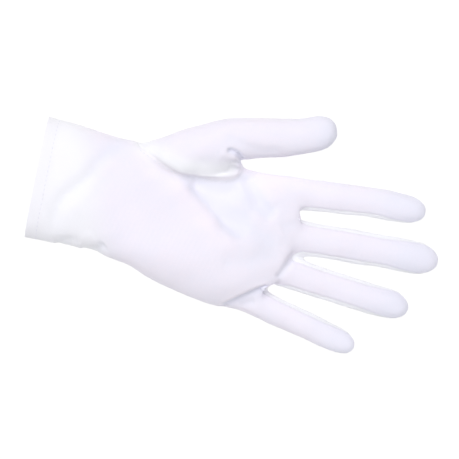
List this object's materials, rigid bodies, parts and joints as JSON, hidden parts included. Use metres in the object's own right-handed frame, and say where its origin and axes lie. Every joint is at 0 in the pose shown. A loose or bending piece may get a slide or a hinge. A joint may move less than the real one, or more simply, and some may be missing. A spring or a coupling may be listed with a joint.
{
  "type": "dress glove",
  "caption": "Wrist-length thin knit dress glove for a left hand, in its worn shape, with set-in thumb, side strips between the fingers and hemmed cuff.",
  "frame": {"origin": "on the surface that the back of the glove lies on, under the middle of the glove's box", "axes": "+X from the cuff to the fingertips, +Y to the thumb side, +Z out of the palm"},
  "size_m": [0.2368, 0.1292, 0.0358],
  "materials": {
    "knit": "fine white stretch knit, matte",
    "thread": "white sewing thread"
  },
  "bodies": {
    "hand": {"palm_panel": "knit", "back_panel": "knit", "index_middle_gusset": "knit", "middle_ring_gusset": "knit", "ring_little_gusset": "knit", "thumb_root": "knit", "cuff_hem": "knit", "cuff_hem_thread": "thread", "thumb_seam_thread": "thread"},
    "index_sleeve": {"index_back": "knit", "index_front": "knit", "index_outer_side": "knit"},
    "index_tip": {"index_tip_back": "knit", "index_tip_front": "knit", "index_tip_outer_side": "knit"},
    "middle_sleeve": {"middle_back": "knit", "middle_front": "knit", "middle_outer_side": "knit", "middle_thumb_side": "knit"},
    "middle_tip": {"middle_tip_back": "knit", "middle_tip_front": "knit", "middle_tip_outer_side": "knit", "middle_tip_thumb_side": "knit"},
    "ring_sleeve": {"ring_back": "knit", "ring_front": "knit", "ring_outer_side": "knit", "ring_thumb_side": "knit"},
    "ring_tip": {"ring_tip_back": "knit", "ring_tip_front": "knit", "ring_tip_outer_side": "knit", "ring_tip_thumb_side": "knit"},
    "little_sleeve": {"little_back": "knit", "little_front": "knit", "little_thumb_side": "knit"},
    "little_tip": {"little_tip_back": "knit", "little_tip_front": "knit", "little_tip_thumb_side": "knit"},
    "thumb_sleeve": {"thumb_inner": "knit", "thumb_outer": "knit"},
    "thumb_tip": {"thumb_tip_inner": "knit", "thumb_tip_outer": "knit"}
  },
  "joints": [
    {"name": "index_knuckle", "type": "hinge", "parent": "hand", "child": "index_sleeve", "pos_m": [0.04612, 0.02163, 0.01434], "axis": [0.0663, -0.9978, 0], "range_deg": [-6, 60]},
    {"name": "index_bend", "type": "hinge", "parent": "index_sleeve", "child": "index_tip", "pos_m": [0.06707, 0.02303, 0.01501], "axis": [0.0663, -0.9978, 0], "range_deg": [-4, 75]},
    {"name": "middle_knuckle", "type": "hinge", "parent": "hand", "child": "middle_sleeve", "pos_m": [0.04939, -0.00331, 0.01419], "axis": [0.0209, -0.9998, 0], "range_deg": [-6, 60]},
    {"name": "middle_bend", "type": "hinge", "parent": "middle_sleeve", "child": "middle_tip", "pos_m": [0.07239, -0.00283, 0.01471], "axis": [0.0209, -0.9998, 0], "range_deg": [-4, 75]},
    {"name": "ring_knuckle", "type": "hinge", "parent": "hand", "child": "ring_sleeve", "pos_m": [0.04459, -0.02638, 0.01352], "axis": [-0.0976, -0.9952, 0], "range_deg": [-6, 60]},
    {"name": "ring_bend", "type": "hinge", "parent": "ring_sleeve", "child": "ring_tip", "pos_m": [0.06549, -0.02843, 0.01411], "axis": [-0.0976, -0.9952, 0], "range_deg": [-4, 75]},
    {"name": "little_knuckle", "type": "hinge", "parent": "hand", "child": "little_sleeve", "pos_m": [0.0301, -0.04757, 0.01278], "axis": [-0.2284, -0.9736, 0], "range_deg": [-6, 60]},
    {"name": "little_bend", "type": "hinge", "parent": "little_sleeve", "child": "little_tip", "pos_m": [0.04665, -0.05146, 0.01358], "axis": [-0.2284, -0.9736, 0], "range_deg": [-4, 75]},
    {"name": "thumb_knuckle", "type": "hinge", "parent": "hand", "child": "thumb_sleeve", "pos_m": [0.00655, 0.04472, 0.02599], "axis": [0.2251, -0.7552, -0.6157], "range_deg": [-10, 30]},
    {"name": "thumb_bend", "type": "hinge", "parent": "thumb_sleeve", "child": "thumb_tip", "pos_m": [0.02476, 0.05014, 0.02669], "axis": [0.2251, -0.7552, -0.6157], "range_deg": [-5, 60]}
  ]
}
